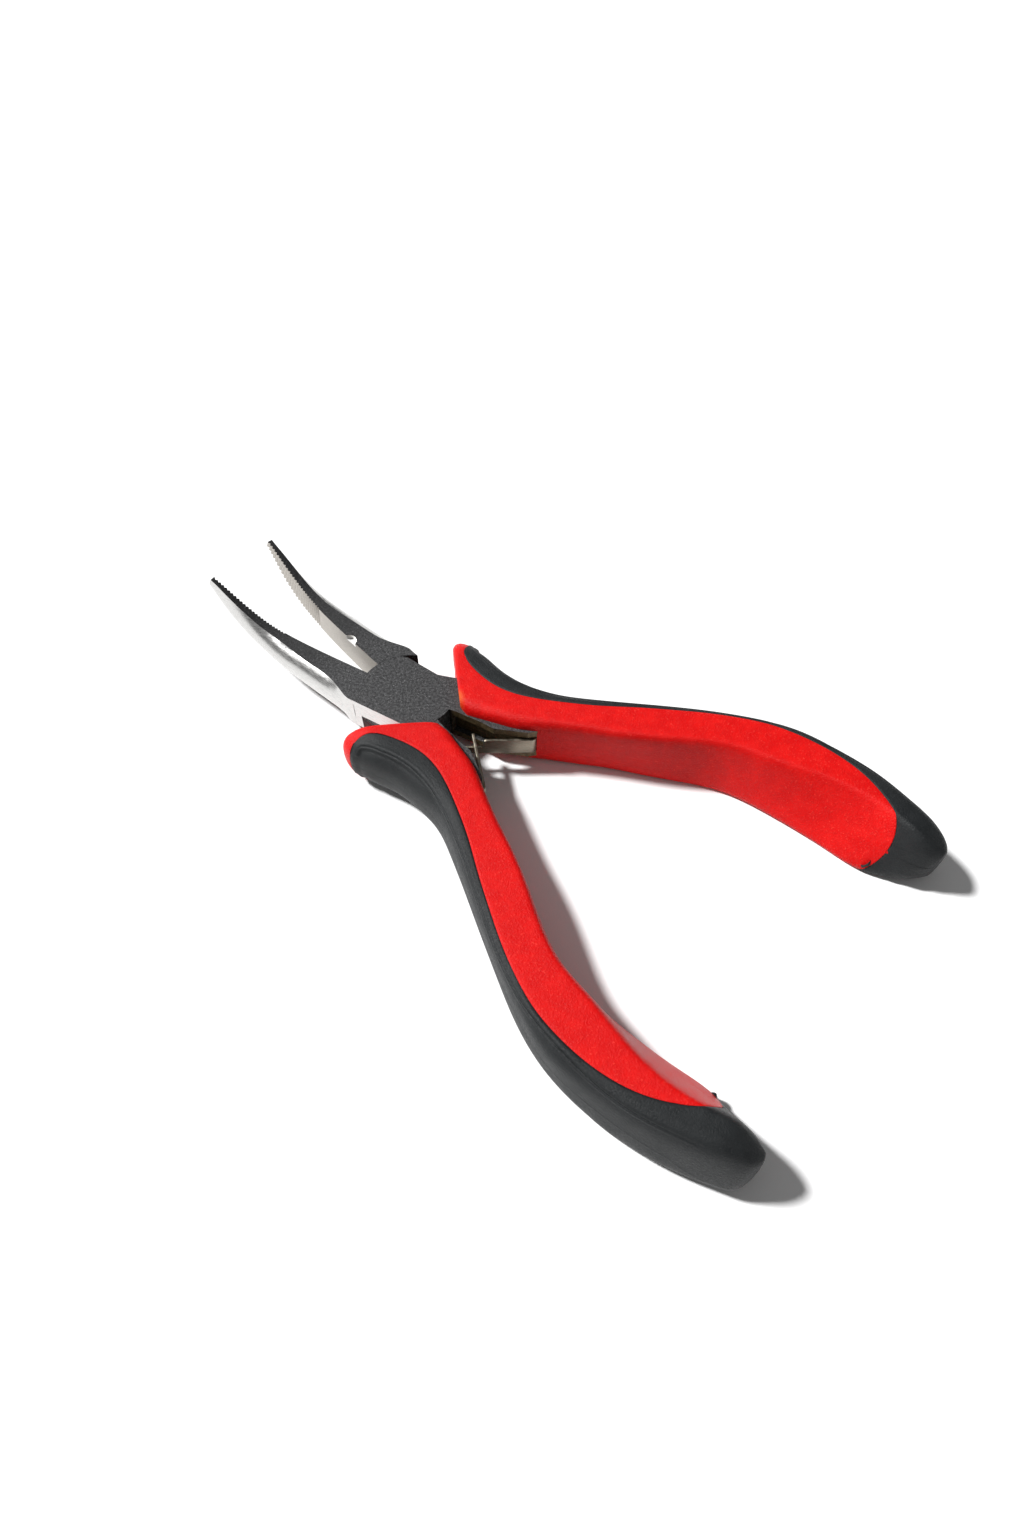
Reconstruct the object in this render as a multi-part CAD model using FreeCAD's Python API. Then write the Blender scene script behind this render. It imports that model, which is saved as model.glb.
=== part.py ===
import FreeCAD, Part
import math
import os

# Bent-nose needle pliers with two-component grips, drawn as they lie open.
# Frame: millimetres. Origin at the centre of the rivet's upper face, on the pivot axis and
# flush with the joint's upper face. -X towards the jaws, +X towards the handles, +Z up; the
# jaws curl towards +Z and the right handle lies on +Y. The tool is mirror-symmetric about the
# XZ plane except for the lap, the notch and the tongues of the leaf springs.
# Every piece is drawn about the middle of the joint's thickness and lowered at the end.

V = FreeCAD.Vector

# ---- joint ----
HALF_OPEN = 8.8            # degrees each half is turned from closed
JOINT_HALF_T = 3.3         # half the thickness of joint and tangs
JOINT_HALF_W = 6.7         # half the width of the joint
LAP_R = 8.6                # radius of the lap disc
LAP_CLEAR = 0.08           # radial gap between lap disc and shoulder
LAP_GAP = 0.04             # gap between the two lap faces
LAP_OVERRUN = 1.0          # the lap cutters pass the joint's faces by this much
ARC_STEPS = 14             # straight steps in each arc of the lap disc
ARC_OUTER_END = 1.2        # degrees, where the jaw-side arc meets the tang's inner edge
ARC_FAR_START = 128.0      # degrees, where the far arc leaves the joint's side

# ---- rivet ----
RIVET_R = 2.1              # shank radius
RIVET_HEAD_R = 2.9         # countersunk head radius at the outer face
RIVET_HEAD_H = 0.8         # countersink depth
RIVET_CLEAR = 0.03         # running clearance in the lower lever
RIVET_HOLE_OVERRUN = 0.5

# ---- gripping faces ----
FACE_GAP = 0.02            # each gripping face stands back this far from the closing plane
TOOTH_PITCH = 0.62
TOOTH_DEPTH = 0.26
TOOTH_COUNT = 24
TOOTH_FIRST_U = 41.55      # the groove nearest the tip
TOOTH_HALF_W = TOOTH_PITCH * 0.46   # half width of a groove on the face
TIP_PITCH_U = 38.0         # beyond this the pitch is shortened
TIP_PITCH_RATIO = 0.98
TOOTH_OVERRUN = 1.0        # groove cutter past the face's upper and lower edges
TOOTH_CUTTER_Y = 0.3       # outer side of the groove cutter
NOTCH_U, NOTCH_R, NOTCH_DEPTH = 17.0, 1.5, 1.0
NOTCH_DROP = 0.8           # notch floor below the joint's upper face
NOTCH_CUTTER_H = 3.0

# ---- leaf springs, dimensions of the right one ----
LEAF_T = 0.5
LEAF_HALF_H = 1.7
LEAF_ANGLE = 40.2          # degrees between the leaf and the symmetry axis
LEAF_EYE_R = 0.9           # outside radius of the rolled root
LEAF_LENGTH = 11.6         # root to tip
LEAF_SHOULDER = 8.3        # root to where the leaf narrows to a tongue
LEAF_SLIT = 0.1            # height between the two crossed tongues
LEAF_TIP = 0.3             # length of the pointed tip
TONGUE_OVERLAP = 1.0       # the tongue starts this far inside the strip
EYE_X, EYE_Y = 22.54, 6.79 # axis of the rolled root
EYE_CLEAR = 0.05
LEAF_CLOSE_TURN = 14.7     # degrees a leaf turns in its handle when the jaws close
LEAF_CLOSE_SPARE = 1.0     # degrees of room beyond that
LEAF_OPEN_TURN = 4.0
LEAF_SIDE_CLEAR = 0.12
SWING_LENGTH = 5.0         # length of the room the leaf swings in
SLOT_HALF_H = 1.85         # half height of the leaf's slot in tang and grip
TANG_SLOT_EASE = 0.1       # added to that above and below in the tang's relief slot

# ---- grips ----
GRIP_HALF_T = 5.35         # half thickness between the flat top and bottom
GRIP_CROWN = 0.16          # crown removed to make those flats
CROWN_H = GRIP_HALF_T + GRIP_CROWN
SKIN_T = 1.8               # thickness of the soft overmould
CORE_EXPONENT = 3.0        # section exponent of the core under the skin
SECTION_POINTS = 32
MOUTH_X = 22.4             # where the grip closes round the tang on its inner side
SWEEP_CLEAR = 0.35         # room round the joint in the grip, radial
SWEEP_CLEAR_Z = 0.12       # and above and below


# ---- helpers ----

def turned(points, degrees):
    cosine, sine = math.cos(math.radians(degrees)), math.sin(math.radians(degrees))
    return [(x * cosine - y * sine, x * sine + y * cosine) for x, y in points]


def mirror_y(shape):
    return shape.mirror(V(0, 0, 0), V(0, 1, 0))


def prism(points, z_low, z_high):
    corners = [V(x, y, z_low) for x, y in points]
    face = Part.Face(Part.makePolygon(corners + [corners[0]]))
    return face.extrude(V(0, 0, z_high - z_low))


def cylinder(radius, half_height, x=0, y=0):
    """Upright cylinder centred on z = 0."""
    return Part.makeCylinder(radius, 2 * half_height, V(x, y, -half_height))


def largest(shape):
    return max(shape.Solids, key=lambda solid: solid.Volume)


# ---- jaw, drawn closed with its gripping face near y = 0 and its body on y < 0 ----

# Each station: top point (u, z) and bottom point (u, z) on the gripping face, full width,
# width of the flat top. u is measured from the pivot towards the tip.
JAW = [
    ((7.0, 3.30), (7.0, -3.30), 6.72, 6.62),
    ((9.5, 3.30), (9.5, -3.30), 6.62, 6.15),
    ((13.0, 3.30), (13.0, -3.25), 6.25, 4.60),
    ((18.0, 3.35), (18.0, -2.95), 5.50, 3.60),
    ((22.5, 3.50), (22.9, -2.50), 4.80, 2.85),
    ((26.0, 3.78), (26.8, -1.85), 4.20, 2.20),
    ((29.0, 4.28), (30.2, -1.05), 3.55, 1.90),
    ((31.6, 5.05), (33.2, -0.10), 3.00, 1.75),
    ((34.0, 6.10), (36.0, 1.35), 2.50, 1.60),
    ((36.4, 7.40), (38.6, 3.40), 2.00, 1.45),
    ((38.8, 8.90), (40.7, 6.00), 1.50, 1.25),
    ((40.6, 10.0), (42.0, 8.00), 1.20, 1.05),
    ((42.0, 10.8), (42.9, 9.35), 1.05, 0.95),
]
# Width of the flat bottom as a share of the flat top's, at the root and beyond it
JAW_ROOT_U = 9.6
ROOT_BOTTOM_RATIO, BOTTOM_RATIO = 0.985, 0.92


def jaw_section(top, bottom, width, top_width):
    (top_u, top_z), (bottom_u, bottom_z) = top, bottom
    ratio = ROOT_BOTTOM_RATIO if bottom_u < JAW_ROOT_U else BOTTOM_RATIO
    face_top = V(-top_u, -FACE_GAP, top_z)
    face_bottom = V(-bottom_u, -FACE_GAP, bottom_z)
    outer_top = V(-top_u, -top_width, top_z)
    outer_bottom = V(-bottom_u, -top_width * ratio, bottom_z)
    outer_middle = V(-(top_u + bottom_u) / 2, -width, (top_z + bottom_z) / 2)
    return Part.Wire([
        Part.makeLine(face_top, outer_top),
        Part.Arc(outer_top, outer_middle, outer_bottom).toShape(),
        Part.makeLine(outer_bottom, face_bottom),
        Part.makeLine(face_bottom, face_top),
    ])


def jaw():
    return Part.makeLoft([jaw_section(*station) for station in JAW], True, False)


def face_edges_at(u):
    """Top and bottom points of the gripping face, in the plane y = 0, at top station u."""
    for here, there in zip(JAW, JAW[1:]):
        if here[0][0] <= u <= there[0][0]:
            share = (u - here[0][0]) / (there[0][0] - here[0][0])
            ends = []
            for (u0, z0), (u1, z1) in zip(here[:2], there[:2]):
                ends.append(V(-(u0 + (u1 - u0) * share), 0, z0 + (z1 - z0) * share))
            return ends


def tooth_groove(u):
    top, bottom = face_edges_at(u)
    length = (bottom - top).Length
    down = (bottom - top) * (1 / length)
    across = V(down.z, 0, -down.x)
    start = top - down * TOOTH_OVERRUN
    root = start + V(0, -FACE_GAP - TOOTH_DEPTH, 0)
    # the cutter is widened in proportion to its height, to be right on the face itself
    widening = (TOOTH_CUTTER_Y + FACE_GAP + TOOTH_DEPTH) / TOOTH_DEPTH
    side = across * (TOOTH_HALF_W * widening)
    lift = V(0, TOOTH_CUTTER_Y, 0)
    profile = [start + side + lift, start - side + lift, root, start + side + lift]
    return Part.Face(Part.makePolygon(profile)).extrude(down * (length + 2 * TOOTH_OVERRUN))


def teeth():
    """V grooves across the gripping face, following the curl of the jaw."""
    grooves = []
    u = TOOTH_FIRST_U
    for i in range(TOOTH_COUNT):
        grooves.append(tooth_groove(u))
        u -= TOOTH_PITCH * (TIP_PITCH_RATIO if u > TIP_PITCH_U else 1.0)
    return Part.makeCompound(grooves)


# ---- levers: the jaw on y < 0 and the tang on y > 0 when closed ----

# Tang outline (x, y) as the tool lies open: inner edge, then the part inside the grip,
# out to the tail and back along the outer edge to the joint
TANG_INNER = [(10.3, 1.95), (14.65, 2.75), (17.2, 3.0), (22.4, 5.95), (23.7, 7.6)]
TANG_CORE = [
    (24.4, 9.3), (30.0, 12.6), (36.0, 16.2), (43.0, 20.6), (50.0, 24.0), (57.5, 26.9),
    (61.5, 27.6), (61.5, 31.0), (57.0, 30.6), (49.0, 28.4), (41.0, 24.0), (33.5, 19.0),
    (26.5, 14.6), (19.5, 11.7), (12.0, 10.3), (7.0, 9.0), (3.6, 7.2), (1.5, 6.25),
]
# Joint outline (x, y) when closed: under the jaw's root, and the corner before the far arc
JAW_ROOT = [(-9.0, -FACE_GAP), (-9.0, -6.30), (-7.0, -6.66), (-5.0, -JOINT_HALF_W)]
FAR_CORNER = (-4.6, 6.75)
# Relief slot in the tang that the leaf folds into, (x, y) when closed
TANG_SLOT = [(9.2, -2), (23.4, -2), (23.4, 3.45), (22.2, 3.35), (15.5, 1.55), (9.2, 1.35)]


def lap_arc(start, end):
    angles = [math.radians(start + (end - start) * i / ARC_STEPS) for i in range(ARC_STEPS + 1)]
    return [(LAP_R * math.cos(angle), LAP_R * math.sin(angle)) for angle in angles]


def wire_notch():
    """Half-round notch in the upper edge of the gripping face."""
    place = V(-NOTCH_U, NOTCH_R - NOTCH_DEPTH, JOINT_HALF_T - NOTCH_DROP)
    return Part.makeCylinder(NOTCH_R, NOTCH_CUTTER_H, place)


def lever_blank(notched):
    """Right-hand lever at full joint thickness, turned open."""
    outer_start = -math.degrees(math.asin(JOINT_HALF_W / LAP_R))
    face_end = 180.0 + math.degrees(math.asin(FACE_GAP / LAP_R))
    outline = JAW_ROOT + lap_arc(outer_start, ARC_OUTER_END)
    outline += turned(TANG_INNER + TANG_CORE, -HALF_OPEN)
    outline += [FAR_CORNER] + lap_arc(ARC_FAR_START, face_end)[1:]
    lever = jaw().fuse(prism(outline, -JOINT_HALF_T, JOINT_HALF_T))
    lever = lever.cut(teeth())
    if notched:
        lever = lever.cut(wire_notch())
    slot_half = SLOT_HALF_H + TANG_SLOT_EASE
    lever = lever.cut(prism(TANG_SLOT, -slot_half, slot_half))
    lever = largest(lever.removeSplitter()).copy()
    lever.rotate(V(0, 0, 0), V(0, 0, 1), HALF_OPEN)
    return lever


def lap_cutter(z_low):
    """Disc that takes one half of the joint's thickness and half the lap gap."""
    height = JOINT_HALF_T + LAP_OVERRUN + LAP_GAP / 2
    return Part.makeCylinder(LAP_R + LAP_CLEAR, height, V(0, 0, z_low))


def upper_lever(right_blank, cavity):
    lever = right_blank.cut(lap_cutter(-JOINT_HALF_T - LAP_OVERRUN))
    return largest(lever.cut(rivet_body(0.0, RIVET_HOLE_OVERRUN)).cut(cavity))


def lower_lever(cavity):
    lever = mirror_y(lever_blank(True)).cut(lap_cutter(-LAP_GAP / 2))
    lever = lever.cut(rivet_body(RIVET_CLEAR, RIVET_HOLE_OVERRUN))
    return largest(lever.cut(mirror_y(cavity)))


# ---- rivet ----

def rivet_body(gap, overrun):
    """Shank with a countersunk head at each end, grown by gap; the shank runs on by overrun."""
    radius, head_radius = RIVET_R + gap, RIVET_HEAD_R + gap
    shank = cylinder(radius, JOINT_HALF_T + overrun)
    top = Part.makeCone(radius, head_radius, RIVET_HEAD_H, V(0, 0, JOINT_HALF_T - RIVET_HEAD_H))
    bottom = Part.makeCone(head_radius, radius, RIVET_HEAD_H, V(0, 0, -JOINT_HALF_T))
    return shank.fuse(top).fuse(bottom)


def rivet():
    return rivet_body(0.0, 0.0).removeSplitter()


# ---- leaf springs ----

def leaf_point(along, inward, turn=0.0):
    """Point at a distance along the right leaf and to its inner side, with the leaf turned."""
    angle = math.radians(180.0 + LEAF_ANGLE + turn)
    side = angle + math.pi / 2
    return (EYE_X + math.cos(angle) * along + math.cos(side) * inward,
            EYE_Y + math.sin(angle) * along + math.sin(side) * inward)


def leaf_cavity():
    """Room for the right leaf's rolled root and for the leaf swinging about it."""
    inner = LEAF_EYE_R + LEAF_SIDE_CLEAR
    outer = LEAF_EYE_R - LEAF_T - LEAF_SIDE_CLEAR
    closed_turn = -LEAF_CLOSE_TURN - LEAF_CLOSE_SPARE
    swing = [leaf_point(0, inner, LEAF_OPEN_TURN),
             leaf_point(SWING_LENGTH, inner, LEAF_OPEN_TURN),
             leaf_point(SWING_LENGTH, outer, closed_turn),
             leaf_point(0, outer, closed_turn)]
    eye = cylinder(LEAF_EYE_R + EYE_CLEAR, SLOT_HALF_H, EYE_X, EYE_Y)
    return eye.fuse(prism(swing, -SLOT_HALF_H, SLOT_HALF_H))


def right_leaf():
    """Rolled root, straight strip, and a lower tongue past the shoulder."""
    outer, inner = LEAF_EYE_R - LEAF_T, LEAF_EYE_R
    eye = cylinder(LEAF_EYE_R, LEAF_HALF_H, EYE_X, EYE_Y)
    eye = eye.cut(cylinder(LEAF_EYE_R - LEAF_T, LEAF_HALF_H, EYE_X, EYE_Y))
    strip = prism([leaf_point(0, outer), leaf_point(LEAF_SHOULDER, outer),
                   leaf_point(LEAF_SHOULDER, inner), leaf_point(0, inner)],
                  -LEAF_HALF_H, LEAF_HALF_H)
    tongue = prism([leaf_point(LEAF_SHOULDER - TONGUE_OVERLAP, outer),
                    leaf_point(LEAF_LENGTH - LEAF_TIP, outer),
                    leaf_point(LEAF_LENGTH, outer + LEAF_T / 2),
                    leaf_point(LEAF_LENGTH - LEAF_TIP, inner),
                    leaf_point(LEAF_SHOULDER - TONGUE_OVERLAP, inner)],
                   -LEAF_HALF_H, -LEAF_SLIT / 2)
    return largest(eye.fuse(strip).fuse(tongue).removeSplitter())


def left_leaf():
    """The same leaf turned over, so that its tongue is the upper one."""
    leaf = right_leaf()
    leaf.rotate(V(0, 0, 0), V(1, 0, 0), 180)
    return leaf


# ---- grip, right side as it lies open ----

# Each station: inner point, outer point, half height, inner and outer exponent of the section,
# position of the crown between inner and outer side, and how far the inner and the outer wall
# lean: each stands this much closer in at the top face and this much further out at the bottom.
GRIP = [
    ((10.75, 2.55), (-0.10, 12.40), CROWN_H - 1.15, 5.0, 3.0, 0.50, 0.00, 0.00),
    ((10.75, 2.02), (-1.15, 13.30), CROWN_H - 0.35, 5.0, 3.0, 0.50, 0.00, 0.00),
    ((11.60, 2.25), (-1.30, 14.60), CROWN_H, 5.5, 3.0, 0.48, 0.00, 0.00),
    ((13.00, 2.75), (0.60, 15.90), CROWN_H, 6.0, 2.8, 0.48, 0.00, 0.00),
    ((15.00, 3.45), (4.20, 16.20), CROWN_H, 6.0, 2.7, 0.48, 0.00, 0.00),
    ((17.60, 4.35), (9.20, 15.30), CROWN_H, 6.0, 2.6, 0.48, 0.00, 0.00),
    ((20.50, 5.45), (14.50, 15.20), CROWN_H, 5.5, 2.6, 0.48, 0.00, 0.00),
    ((24.05, 7.56), (19.97, 15.86), CROWN_H, 5.5, 2.8, 0.50, 0.01, 0.19),
    ((28.83, 10.40), (25.06, 18.07), CROWN_H, 6.0, 3.1, 0.50, 0.03, 0.25),
    ((34.44, 13.48), (30.81, 21.40), CROWN_H, 6.5, 3.4, 0.50, -0.10, -0.01),
    ((40.10, 16.47), (37.16, 25.15), CROWN_H, 7.0, 3.7, 0.50, 0.23, -0.13),
    ((45.82, 19.83), (43.70, 28.92), CROWN_H, 7.5, 3.9, 0.50, 0.78, -0.13),
    ((51.84, 22.70), (50.58, 32.53), CROWN_H, 8.0, 4.2, 0.50, 1.16, 0.14),
    ((58.23, 23.91), (57.65, 35.23), CROWN_H, 7.8, 4.2, 0.50, 1.56, 0.11),
    ((65.00, 24.85), (65.00, 35.91), CROWN_H, 7.6, 4.1, 0.50, 2.50, 0.70),
    ((71.80, 25.22), (72.44, 35.46), CROWN_H, 7.4, 4.1, 0.50, 3.17, 0.99),
    ((82.00, 24.99), (83.60, 32.45), CROWN_H - 0.61, 6.0, 3.8, 0.50, 1.83, 1.23),
    ((85.20, 25.81), (86.30, 30.71), CROWN_H - 1.96, 4.0, 3.2, 0.50, 1.33, 1.33),
    ((86.32, 26.68), (86.85, 29.02), CROWN_H - 2.51, 3.0, 2.8, 0.50, 0.50, 0.50),
]
CORE_STATIONS = GRIP[3:17]   # those the core under the skin runs through

# Seam (x, y) between hard body and soft overmould, from the lobe to the tail's inner side
SEAM = [
    (1.9, 20.0), (1.75, 16.4), (1.9, 14.0), (2.7, 12.2), (4.4, 10.95), (7.0, 10.05),
    (10.0, 9.5), (13.0, 9.45), (16.5, 10.2), (20.0, 11.7), (24.0, 13.9), (29.0, 17.0),
    (34.0, 20.6), (39.3, 24.2), (44.3, 27.4), (49.0, 29.9), (53.5, 31.7), (58.0, 32.65),
    (62.0, 33.0), (66.4, 32.8), (70.7, 31.85), (74.6, 30.1), (77.2, 28.2), (79.0, 26.0),
    (79.8, 23.8), (79.6, 21.6), (78.6, 19.6), (77.6, 17.0),
]
BEYOND_X, BEYOND_Y, BEYOND_Z = 95, 60, 9   # limits of the overmould side, clear of the grip

# Open inner side of the grip in front of the mouth, (x, y)
MOUTH = [(4.0, -3.0), (MOUTH_X, -3.0), (MOUTH_X, 7.4), (16.5, 6.5), (9.0, 5.0), (4.0, 4.0)]


def signed_power(value, exponent):
    return math.copysign(abs(value) ** (2.0 / exponent), value)


def grip_section(inner, outer, half_h, inner_exp, outer_exp, crown, inner_lean, outer_lean,
                 inset):
    (inner_x, inner_y), (outer_x, outer_y) = inner, outer
    span = math.hypot(outer_x - inner_x, outer_y - inner_y)
    dir_x, dir_y = (outer_x - inner_x) / span, (outer_y - inner_y) / span
    start_x, start_y = inner_x + dir_x * inset, inner_y + dir_y * inset
    width = span - 2 * inset
    height = half_h - inset
    crown_at = width * crown
    points = []
    for i in range(SECTION_POINTS):
        # starts on the inner side, clear of the overmould
        angle = math.pi + 2 * math.pi * i / SECTION_POINTS
        cosine, sine = math.cos(angle), math.sin(angle)
        if cosine >= 0:
            reach, exponent, lean = width - crown_at, outer_exp, outer_lean
        else:
            reach, exponent, lean = crown_at, inner_exp, inner_lean
        z = height * signed_power(sine, exponent)
        across = crown_at + (reach - lean * z / GRIP_HALF_T) * signed_power(cosine, exponent)
        points.append(V(start_x + dir_x * across, start_y + dir_y * across, z))
    curve = Part.BSplineCurve()
    # the same parameters in every section, so that the loft joins matching points
    parameters = [i / SECTION_POINTS for i in range(SECTION_POINTS + 1)]
    curve.interpolate(Points=points, PeriodicFlag=True, Parameters=parameters)
    return Part.Wire([curve.toShape()])


def grip_loft(stations, inset):
    # solid, not ruled, open, degree 2, which keeps the cuts that follow sound
    sections = [grip_section(*station, inset) for station in stations]
    return Part.makeLoft(sections, True, False, False, 2)


def whole_grip():
    """Both components together, with the top and bottom flats."""
    flats = Part.makeBox(140, 120, 2 * GRIP_HALF_T, V(-30, -60, -GRIP_HALF_T))
    return grip_loft(GRIP, 0.0).common(flats)


def overmould_side():
    """Everything on the overmould's side of the seam."""
    seam = Part.BSplineCurve()
    seam.interpolate([V(x, y, -BEYOND_Z) for x, y in SEAM])
    corners = [SEAM[-1], (BEYOND_X, SEAM[-1][1]), (BEYOND_X, BEYOND_Y),
               (SEAM[0][0], BEYOND_Y), SEAM[0]]
    corners = [V(x, y, -BEYOND_Z) for x, y in corners]
    sides = [Part.makeLine(start, end) for start, end in zip(corners, corners[1:])]
    face = Part.Face(Part.Wire([seam.toShape()] + sides))
    return face.extrude(V(0, 0, 2 * BEYOND_Z))


def core_under_skin():
    """Part of the hard body under the soft skin, with easier corners than the outside."""
    stations = [(inner, outer, half_h, CORE_EXPONENT, CORE_EXPONENT, *rest)
                for inner, outer, half_h, _, _, *rest in CORE_STATIONS]
    return grip_loft(stations, SKIN_T)


def joint_sweep():
    return cylinder(LAP_R + SWEEP_CLEAR, JOINT_HALF_T + SWEEP_CLEAR_Z)


def grip_core(whole, outside, under_skin, blank, cavity):
    core = whole.cut(outside).fuse(under_skin)
    mouth = prism(MOUTH, -JOINT_HALF_T, JOINT_HALF_T)
    # the blank leaves the socket for the tang
    core = core.cut(blank).cut(mouth).cut(joint_sweep()).cut(cavity)
    return largest(core.removeSplitter())


def grip_overmould(whole, outside, under_skin):
    skin = whole.common(outside).cut(under_skin).cut(joint_sweep())
    return largest(skin.removeSplitter())


def main():
    os.makedirs("parts", exist_ok=True)
    right_blank = lever_blank(False)
    cavity = leaf_cavity()
    whole, outside, under_skin = whole_grip(), overmould_side(), core_under_skin()
    core = grip_core(whole, outside, under_skin, right_blank, cavity)
    overmould = grip_overmould(whole, outside, under_skin)
    parts = {
        "upper_lap_lever": upper_lever(right_blank, cavity),
        "lower_lap_lever": lower_lever(cavity),
        "pivot_rivet": rivet(),
        "right_grip_core": core,
        "right_grip_overmould": overmould,
        "left_grip_core": mirror_y(core),
        "left_grip_overmould": mirror_y(overmould),
        "right_leaf_spring": right_leaf(),
        "left_leaf_spring": left_leaf(),
    }
    for name, shape in parts.items():
        shape.translate(V(0, 0, -JOINT_HALF_T))
        shape.exportStep(os.path.join("parts", name + ".step"))


main()
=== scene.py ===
"""Looks of a pair of spring-loaded pliers with two-colour moulded grips.

The joint's axis is Z through the origin. The jaws point to -X and the grips to +X, the right grip
on the +Y side and the left one its mirror image. Shapes are laid out in mm with z measured from the
mid-plane of joint and grips; to_frame() turns them into the scene's metres.
"""
import bpy, bmesh, math
import numpy as np
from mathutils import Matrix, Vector


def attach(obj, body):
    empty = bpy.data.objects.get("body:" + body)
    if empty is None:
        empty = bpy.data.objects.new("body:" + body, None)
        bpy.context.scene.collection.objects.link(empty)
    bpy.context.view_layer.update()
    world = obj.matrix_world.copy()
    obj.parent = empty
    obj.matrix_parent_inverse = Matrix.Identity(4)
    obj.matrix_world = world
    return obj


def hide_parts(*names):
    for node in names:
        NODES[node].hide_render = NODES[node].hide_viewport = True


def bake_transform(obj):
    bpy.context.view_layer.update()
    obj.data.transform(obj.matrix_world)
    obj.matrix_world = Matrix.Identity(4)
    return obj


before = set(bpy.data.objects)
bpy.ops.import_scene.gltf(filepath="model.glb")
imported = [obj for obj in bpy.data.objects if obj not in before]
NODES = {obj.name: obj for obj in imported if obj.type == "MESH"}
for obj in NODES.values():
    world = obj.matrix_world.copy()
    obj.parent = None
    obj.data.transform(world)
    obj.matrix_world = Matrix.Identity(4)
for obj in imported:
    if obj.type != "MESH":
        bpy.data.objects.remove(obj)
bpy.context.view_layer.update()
MM = 0.001
MID_Z = -3.3                  # mid-plane of joint and grips, mm
OPEN = math.radians(8.8)      # turn of each jaw from the X axis

# ------------------------------------------------------------------ grip dimensions, mm
FLAT_Z = 5.35                 # half height at which the grip's crown flattens
CROWN_BLEND = 0.05            # softness of that limit
FULL = 5.51                   # half height of the section before flattening

# Sections of the right grip, from the joint to the tail: inner (x, y), outer (x, y), half height,
# roundness exponent inner and outer, crown place across the width (0 to 1), wall lean inner, outer
STATIONS = [
    ((10.75, 2.55), (-0.10, 12.40), FULL - 1.15, 5.0, 3.0, 0.50, 0.00, 0.00),
    ((10.75, 2.02), (-1.15, 13.30), FULL - 0.35, 5.0, 3.0, 0.50, 0.00, 0.00),
    ((11.60, 2.25), (-1.30, 14.60), FULL, 5.5, 3.0, 0.48, 0.00, 0.00),
    ((13.00, 2.75), (0.60, 15.90), FULL, 6.0, 2.8, 0.48, 0.00, 0.00),
    ((15.00, 3.45), (4.20, 16.20), FULL, 6.0, 2.7, 0.48, 0.00, 0.00),
    ((17.60, 4.35), (9.20, 15.30), FULL, 6.0, 2.6, 0.48, 0.00, 0.00),
    ((20.50, 5.45), (14.50, 15.20), FULL, 5.5, 2.6, 0.48, 0.00, 0.00),
    ((24.05, 7.56), (19.97, 15.86), FULL, 5.5, 2.8, 0.50, 0.01, 0.19),
    ((28.83, 10.40), (25.06, 18.07), FULL, 6.0, 3.1, 0.50, 0.03, 0.25),
    ((34.44, 13.48), (30.81, 21.40), FULL, 6.5, 3.4, 0.50, -0.10, -0.01),
    ((40.10, 16.47), (37.16, 25.15), FULL, 7.0, 3.7, 0.50, 0.23, -0.13),
    ((45.82, 19.83), (43.70, 28.92), FULL, 7.5, 3.9, 0.50, 0.78, -0.13),
    ((51.84, 22.70), (50.58, 32.53), FULL, 8.0, 4.2, 0.50, 1.16, 0.14),
    ((58.23, 23.91), (57.65, 35.23), FULL, 7.8, 4.2, 0.50, 1.56, 0.11),
    ((65.00, 24.85), (65.00, 35.91), FULL, 7.6, 4.1, 0.50, 2.50, 0.70),
    ((71.80, 25.22), (72.44, 35.46), FULL, 7.4, 4.1, 0.50, 3.17, 0.99),
    ((78.05, 24.83), (79.14, 33.94), FULL - 0.10, 7.2, 4.0, 0.50, 2.80, 1.12),
    ((82.00, 24.99), (83.60, 32.45), FULL - 0.61, 6.0, 3.8, 0.50, 1.83, 1.23),
    ((85.20, 25.81), (86.30, 30.71), FULL - 1.96, 4.0, 3.2, 0.50, 1.33, 1.33),
    ((86.32, 26.68), (86.85, 29.02), FULL - 2.51, 3.0, 2.8, 0.50, 0.50, 0.50),
]

# Seam between red shell and black skin, in plan (x, y)
SEAM = [(1.85, 16.06), (1.75, 15.2), (1.9, 14.0), (2.7, 12.2), (4.4, 10.95), (7.0, 10.05),
        (10.0, 9.5), (13.0, 9.45), (16.5, 10.2), (20.0, 11.7), (24.0, 13.9), (29.0, 17.0),
        (34.0, 20.6), (39.3, 24.2), (44.3, 27.4), (49.0, 29.9), (53.5, 31.7), (58.0, 32.65),
        (62.0, 33.0), (66.4, 32.8), (70.7, 31.85), (74.6, 30.1), (77.0, 28.5), (78.3, 27.2),
        (79.0, 26.3), (79.3, 25.7), (79.4, 25.2), (79.4, 24.85)]
# Rim points (x, y) that the seam points pair with, one each: on the skin's side ...
SKIN_RIM = [(1.85, 16.06), (2.6, 16.2), (3.6, 16.25), (5.2, 16.1), (7.0, 15.8), (9.2, 15.3),
            (11.6, 15.1), (13.9, 15.15), (16.2, 15.2), (18.8, 15.6), (22.0, 16.6), (26.4, 18.8),
            (31.2, 21.6), (36.6, 24.8), (42.0, 27.9), (47.2, 31.0), (52.4, 33.3), (57.4, 35.15),
            (61.8, 35.7), (66.6, 35.95), (71.8, 35.55), (77.0, 34.5), (81.6, 33.2), (86.0, 31.0),
            (86.9, 28.2), (86.0, 26.3), (82.4, 25.0), (79.4, 24.85)]
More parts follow.
